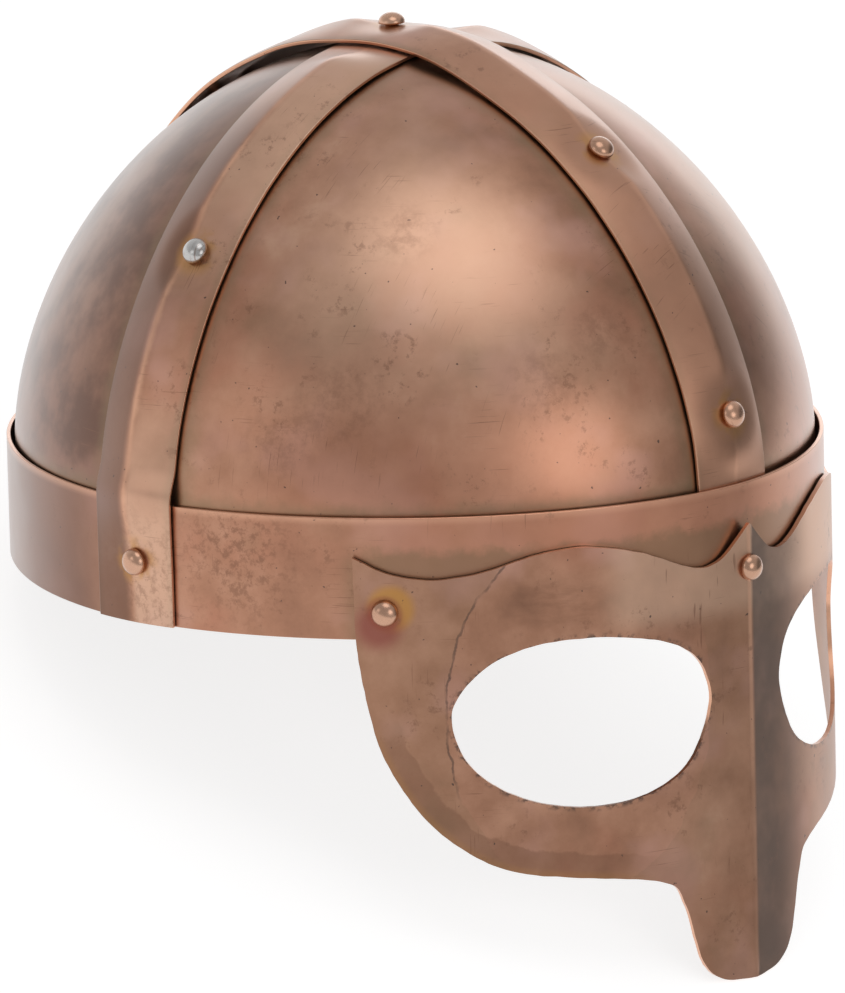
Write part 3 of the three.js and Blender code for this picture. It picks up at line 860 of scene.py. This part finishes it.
def spectacleGuard():
    shape = bmesh.new()
    reach, drop = guard["reach"], guard["nasalDrop"] - guard["edgeWander"]
    steps = guard["outlineSteps"]
    brow = smoothLine([(a * reach, u * guard["rise"]) for a, u in browLine], steps)
    cheek = smoothLine([(a * reach, -d * drop) for a, d in cheekLine]
                       + [(a * guard["nasalHalfWidth"], -d * drop) for a, d in nasalLine], steps)
    eye = smoothLine([(guard["eyeOut"] + out * guard["eyeHalfWidth"],
                       up * guard["eyeHalfHeight"] - guard["eyeDrop"]) for out, up in eyeLine],
                     guard["eyeSteps"], closed=True)
    edges = edgeLoop(shape, brow + cheek, True) + edgeLoop(shape, eye, True)
    bmesh.ops.triangle_fill(shape, use_beauty=True, use_dissolve=False, edges=edges)
    across, up = guard["cutSpacing"], guard["rowSpacing"]
    cuts = [(Vector((i * across, 0, 0)), (1, 0, 0)) for i in range(1, int(reach / across))]
    cuts += [(Vector((0, i * up, 0)), (0, 1, 0))
             for i in range(-int(drop / up), 1 + int(guard["rise"] / up))]
    for place, facing in cuts:
        everything = shape.verts[:] + shape.edges[:] + shape.faces[:]
        bmesh.ops.bisect_plane(shape, geom=everything, dist=guard["cutSnap"], plane_co=place,
                               plane_no=facing)
    for corner in shape.verts:
        if corner.is_boundary and corner.co.x > 1:
            corner.co.x += guard["edgeWander"] * noise.noise(corner.co / 3.1)
            corner.co.y += guard["edgeWander"] * noise.noise(corner.co / 3.7 + Vector((9, 0, 0)))
        elif corner.co.x < 0.2:
            corner.co.x = 0
    everything = shape.verts[:] + shape.edges[:] + shape.faces[:]
    bmesh.ops.mirror(shape, geom=everything, matrix=Matrix.Identity(4), merge_dist=0.01, axis="X")
    bmesh.ops.remove_doubles(shape, verts=shape.verts, dist=0.01)
    layFlat(shape, "flat", lambda at: (at.x, at.y))
    outline, opening = pointFinder(brow + cheek), pointFinder(eye)
    layFlat(shape, "rims", lambda at: tuple(
        finder.find((abs(at.x), at.y, 0))[2] for finder in (outline, opening)))
    for corner in shape.verts:
        corner.co = bendRound(corner.co, sheet["thickness"])
    faceOutwards(shape)
    return finishedPiece("spectacle_guard_sheet", shape, guardFinish, "spectacle_guard")


guardStains = {              # places and sizes on the flat sheet, in mm
    "haze": -0.3,
    "wander": 8,             # how far the stains' edges stray
    "tidePlace": (-52, -22),  # an old tide line, on an oval round the right eye
    "tideSize": (38, 50),
    "tideWander": 0.013,
    "tideEdge": (0.012, 0.004),
    "tideShare": 0.6,
    "outsideShare": 0.16,
    "smearPlace": (-60, 9),
    "smearShare": 0.4,
    "cheekStart": ((-28, -50), (-18, -34)),
    "crescentEdge": (7.2, 6.4),
    "crescentShare": 0.42,
    "rimGold": (2.6, 0.4),
    "rimGoldShare": 0.2,
    "burrEdge": (1.7, 0.2),
    "burrShare": 0.75,
    # painted light: cream on the guard's upper brow
    "paintedLightShare": 0.5,
    "patinaShadeEdge": (-0.2, 1.4),  # the nasal is darker on the wearer's left: painted shade for a dark reflection, over some real patina
    "patinaShadeReach": (38, 8),
    "patinaShadeShare": 0.66,
    "patinaShadeMottle": 0.2,
    "patinaShadeDullness": 0.2,
    "creaseEdge": (0.9, 0.1),
    "creaseShare": 0.5,
    "rings": (
        # colour, share, shift inwards and up, inner and outer radius
        ("heatGold", 0.8, 1.6, 1.2, 4.6, 7.8),
        ("heatRed", 0.75, -1.8, -3.6, 3.2, 9.0),
        ("heatRed", 0.35, 0.0, 0.0, 4.2, 5.4),
    ),
}


def guardDress(tree, where, axes, colour, dull):
    flat = uvMillimetres(tree, "flat")
    rims = uvMillimetres(tree, "rims")     # distances from the outline and from the eye opening
    stray = guardStains["wander"]
    wander = calculate(tree, "MULTIPLY_ADD", cloud(tree, where, 9, 4, 0.6, shift=13), stray, -stray / 2)

    parts = []
    for axis, place, size in zip("XY", guardStains["tidePlace"], guardStains["tideSize"]):
        part = calculate(tree, "DIVIDE", calculate(tree, "ADD", flat[axis], -place), size)
        parts.append(times(tree, part, part))
    ring = calculate(tree, "SQRT", calculate(tree, "ADD", *parts))
    ring = calculate(tree, "MULTIPLY_ADD", wander, guardStains["tideWander"], ring)
    outside = fade(tree, ring, 0.995, 1.0)
    colour = stain(tree, colour, "olive", outside, guardStains["outsideShare"])
    line = fade(tree, calculate(tree, "ABSOLUTE", calculate(tree, "SUBTRACT", ring, 1.0)),
                *guardStains["tideEdge"])
    line = times(tree, line, fade(tree, flat["Y"], -46, -38), fade(tree, flat["X"], -60, -64))
    uneven = fade(tree, cloud(tree, where, 8, 3, 0.6, shift=91), 0.34, 0.6)
    colour = stain(tree, colour, "soot", line, uneven, guardStains["tideShare"])

    besideX, besideY = (
        calculate(tree, "ABSOLUTE", calculate(tree, "ADD", flat[axis], -place))
        for axis, place in zip("XY", guardStains["smearPlace"]))
    streaks = fade(tree, cloud(tree, where, 7, 5, 0.65, (2.4, 2.4, 0.6), 17), 0.36, 0.6)
    smear = times(tree, fade(tree, besideX, 17, 6), fade(tree, besideY, 9, 2), streaks)
    colour = stain(tree, colour, "deep", smear, guardStains["smearShare"])

    outwards, downwards = guardStains["cheekStart"]
    cheek = times(tree, fade(tree, flat["X"], *outwards), fade(tree, flat["Y"], *downwards))
    fromRim = calculate(tree, "ADD", rims["X"], times(tree, wander, 0.6))
    crescent = fade(tree, fromRim, *guardStains["crescentEdge"])
    colour = stain(tree, colour, "deep", crescent, cheek, guardStains["crescentShare"])
    gold = fade(tree, rims["X"], *guardStains["rimGold"])
    colour = stain(tree, colour, "heatGold", gold, cheek, guardStains["rimGoldShare"])

    burr = fade(tree, cloud(tree, where, 2.0, 3, 0.6, shift=47), 0.48, 0.62)
    byEye = fade(tree, rims["Y"], *guardStains["burrEdge"])
    colour = stain(tree, colour, "soot", burr, byEye, guardStains["burrShare"])

    # painted light: the upper brow of the guard turns cream
    light = times(tree, fade(tree, flat["X"], -50, -38), fade(tree, flat["Y"], -4, 4))
    colour = stain(tree, colour, "cream", light, guardStains["paintedLightShare"])
    # painted shade over some real patina: the nasal darkens on the wearer's left, and dulls there
    shade = times(tree, fade(tree, flat["X"], *guardStains["patinaShadeEdge"]),
                  fade(tree, flat["X"], *guardStains["patinaShadeReach"]))
    patchy = fade(tree, cloud(tree, where, 16, 3, 0.55, shift=79), 0.25, 0.6)
    patchy = calculate(tree, "MULTIPLY_ADD", patchy, guardStains["patinaShadeMottle"], guardStains["patinaShadeShare"])
    shade = times(tree, shade, patchy)
    colour = stain(tree, colour, "patinaShade", shade)
    dull = calculate(tree, "MULTIPLY_ADD", shade, guardStains["patinaShadeDullness"], dull)
    crease = calculate(tree, "ABSOLUTE", calculate(tree, "ADD", flat["X"], 0.4))
    crease = times(tree, fade(tree, crease, *guardStains["creaseEdge"]), fade(tree, flat["Y"], -75, 8))
    colour = stain(tree, colour, "worn", crease, guardStains["creaseShare"])
    for side in (-1, 1):
        for shade, share, inwards, up, inner, outer in guardStains["rings"]:
            centre = Vector((side * (guard["sideRivetOut"] - inwards), guard["sideRivetHeight"] + up))
            ring = spot(tree, where, bendRound(centre, sheet["thickness"]), inner, outer)
            colour = stain(tree, colour, shade, ring, share)
    return colour, dull


guardFinish = sheetFinish("aged copper guard", guardDress, guardStains["haze"])
spectacleGuard()
print("spectacle guard made")


def rivetPiece(name, under, normal):
    grip = depthToSkull(under, -normal) + sheet["thickness"] + rivet["sag"] + sheet["seat"]
    foot = -grip - rivet["tailHeight"]
    profile = [(0, rivet["headHeight"])]
    for i in range(1, rivet["headSteps"] + 1):
        angle = i / rivet["headSteps"] * math.pi / 2
        profile.append((rivet["head"] * math.sin(angle), rivet["headHeight"] * math.cos(angle)))
    profile += [
        (rivet["head"] * rivet["skirtShare"], -rivet["skirt"]), (rivet["shank"], -rivet["skirt"]),
        (rivet["shank"], -grip), (rivet["tail"], -grip),
        (rivet["tail"], -grip - rivet["tailHeight"] * rivet["tailSide"]),
        (rivet["tail"] * rivet["tailEnd"], foot), (0, foot),
    ]
    shape = bmesh.new()
    corners = [shape.verts.new((out, 0, up)) for out, up in profile]
    edges = [shape.edges.new(pair) for pair in zip(corners, corners[1:])]
    bmesh.ops.spin(shape, geom=corners + edges, cent=(0, 0, 0), axis=(0, 0, 1), dvec=(0, 0, 0),
                   angle=2 * math.pi, steps=rivet["steps"], use_merge=True)
    bmesh.ops.remove_doubles(shape, verts=shape.verts, dist=0.01)
    bmesh.ops.recalc_face_normals(shape, faces=shape.faces)
    turn = Vector((0, 0, 1)).rotation_difference(normal).to_matrix().to_4x4()
    bmesh.ops.transform(shape, matrix=Matrix.Translation(under) @ turn, verts=shape.verts)
    return finishedPiece(name + "_forged", shape, rivetFinish, name, thick=False)


def rivetDress(tree, where, axes, colour, dull):
    colour = stain(tree, colour, "cream", rivet["creamShare"])
    bare = spot(tree, where, strapRivetPlaces[0], 7, 8)   # one rivet has lost its copper
    return stain(tree, colour, "steel", bare), calculate(tree, "SUBTRACT", dull, rivet["shine"])


rivetFinish = sheetFinish("rubbed copper rivet", rivetDress)


def strapRivet(plan, name, share, across):
    point, normal, _, _ = stationOn(plan, share)
    base = point + plan["sideways"] * across
    ahead = rivet["head"] / plan["length"]
    around = ((0, 0), (ahead, 0), (-ahead, 0), (0, rivet["head"]), (0, -rivet["head"]))
    tops = [strapPoint(plan, share + s, across + a, sheet["thickness"]) for s, a in around]
    height = max((top - base).dot(normal) for top in tops)
    rivetPiece(name, base + normal * (height + sheet["seat"] + rivet["sag"] / 2), normal)


for plan in (sideStrap, longStrap):
    for name, share, across in plan["rivets"]:
        strapRivet(plan, name, share, across)
guardRivets = (
    ("right", -guard["sideRivetOut"], guard["sideRivetHeight"]),
    ("centre", 0, guard["centreRivetHeight"]),
    ("left", guard["sideRivetOut"], guard["sideRivetHeight"]),
)
for name, along, height in guardRivets:
    flat = Vector((along, height))
    under = bendRound(flat, sheet["thickness"] + sheet["seat"])
    rivetPiece("rivet_guard_" + name, under, (under - bendRound(flat, 0)).normalized())
print("rivets made")


# Camera, where the photograph was taken from; its place is given round the upright helmet
shot = {
    "azimuth": -47.4537,
    "elevation": 13.1008,
    "roll": -1.4035,
    "aimHeight": 50.0,
    "aimAside": 1.8768,
    "aimUp": -35.7133,
    "distance": 3195.07,
    "lens": 419.6,
}


def addCamera():
    azimuth, elevation = math.radians(shot["azimuth"]), math.radians(shot["elevation"])
    back = Vector((math.sin(azimuth) * math.cos(elevation),
                   -math.cos(azimuth) * math.cos(elevation), math.sin(elevation)))
    right = Vector((math.cos(azimuth), math.sin(azimuth), 0))
    up = back.cross(right)
    aim = Vector((0, 0, shot["aimHeight"])) + right * shot["aimAside"] + up * shot["aimUp"]
    place = Matrix((right, up, back)).transposed().to_4x4()
    place = place @ Matrix.Rotation(math.radians(shot["roll"]), 4, "Z")
    place.translation = (aim + back * shot["distance"]) / 1000
    camera = bpy.data.objects.new("camera", bpy.data.cameras.new("camera"))
    camera.data.lens = shot["lens"]
    camera.matrix_world = Matrix.Translation(setDown) @ leanBack @ place
    bpy.context.collection.objects.link(camera)
    bpy.context.scene.camera = camera


addCamera()

# Studio: a pale floor, a bright surround that darkens overhead, and soft lights
studio = {
    "floorHalf": 40.0,
    "floorColour": (0.3, 0.3, 0.3),
    "floorGlow": 0.82,
    "floorRoughness": 0.9,
    "sides": 0.74,
    "dark": 0.5,
    "backdrop": 2.8,         # what the far side of the surround adds to that
    "cameraSide": (-0.7176, -0.5140, 0.4700),
    "flag": 0.72,            # share of light that a dark card on the right holds back
    "flagSide": (0.8958, -0.4361, 0.0854),
    "evenSpan": (-0.5, 0.55),     # spans of the cosine from the camera's side or the flag's
    "backdropSpan": (-0.74, -0.97),
    "flagSpan": (0.7, 0.93),
    "softboxes": (
        # place, aim, width and power in watts
        ((-0.30, 0.08, 1.66), (0, 0, 0.1), 1.2, 3.8),
        ((-0.35, -1.5, 1.1), (0, 0, 0.1), 1.0, 3.4),
        ((-1.7, 0.5, 0.6), (0, 0, 0.1), 0.7, 1.0),
    ),
}


def addFloor():
    shape = bmesh.new()
    bmesh.ops.create_grid(shape, x_segments=1, y_segments=1, size=studio["floorHalf"])
    mesh = bpy.data.meshes.new("floor")
    shape.to_mesh(mesh)
    shape.free()
    floor = bpy.data.objects.new("floor", mesh)
    bpy.context.collection.objects.link(floor)
    paint = bpy.data.materials.new("pale floor")
    paint.use_nodes = True
    shader = paint.node_tree.nodes["Principled BSDF"]
    shader.inputs["Base Color"].default_value = (*studio["floorColour"], 1)
    shader.inputs["Roughness"].default_value = studio["floorRoughness"]
    shader.inputs["Emission Color"].default_value = (1, 1, 1, 1)
    shader.inputs["Emission Strength"].default_value = studio["floorGlow"]
    mesh.materials.append(paint)


def addSurround():
    world = bpy.data.worlds.new("studio")
    bpy.context.scene.world = world
    world.use_nodes = True
    tree = world.node_tree
    heading = addNode(tree, "ShaderNodeTexCoord").outputs["Generated"]
    facing = addNode(tree, "ShaderNodeVectorMath", operation="DOT_PRODUCT")
    tree.links.new(heading, facing.inputs[0])
    facing.inputs[1].default_value = studio["cameraSide"]
    nearest, farthest = studio["evenSpan"]
    even = addNode(tree, "ShaderNodeMapRange", {
        "Value": facing.outputs["Value"], "From Min": nearest, "From Max": farthest,
        "To Min": studio["sides"], "To Max": studio["dark"],
    }, interpolation_type="SMOOTHSTEP")
    behind = fade(tree, facing.outputs["Value"], *studio["backdropSpan"])
    bright = calculate(tree, "MULTIPLY_ADD", behind, studio["backdrop"], even.outputs["Result"])
    flag = addNode(tree, "ShaderNodeVectorMath", operation="DOT_PRODUCT")
    tree.links.new(heading, flag.inputs[0])
    flag.inputs[1].default_value = studio["flagSide"]
    held = times(tree, fade(tree, flag.outputs["Value"], *studio["flagSpan"]), -studio["flag"])
    bright = calculate(tree, "MULTIPLY", bright, calculate(tree, "ADD", held, 1.0))
    tree.nodes["Background"].inputs["Color"].default_value = (1, 1, 1, 1)
    tree.links.new(bright, tree.nodes["Background"].inputs["Strength"])


def addLamp(name, place, aim, size, power):
    light = bpy.data.lights.new(name, "AREA")
    light.shape = "DISK"
    light.size = size
    light.energy = power
    lamp = bpy.data.objects.new(name, light)
    lamp.location = place
    away = Vector(place) - Vector(aim)
    lamp.rotation_euler = away.to_track_quat("Z", "Y").to_euler()
    bpy.context.collection.objects.link(lamp)


addFloor()
addSurround()
for number, box in enumerate(studio["softboxes"]):
    addLamp(f"softbox {number + 1}", *box)
bpy.context.scene.view_settings.view_transform = "Standard"
print("studio made")
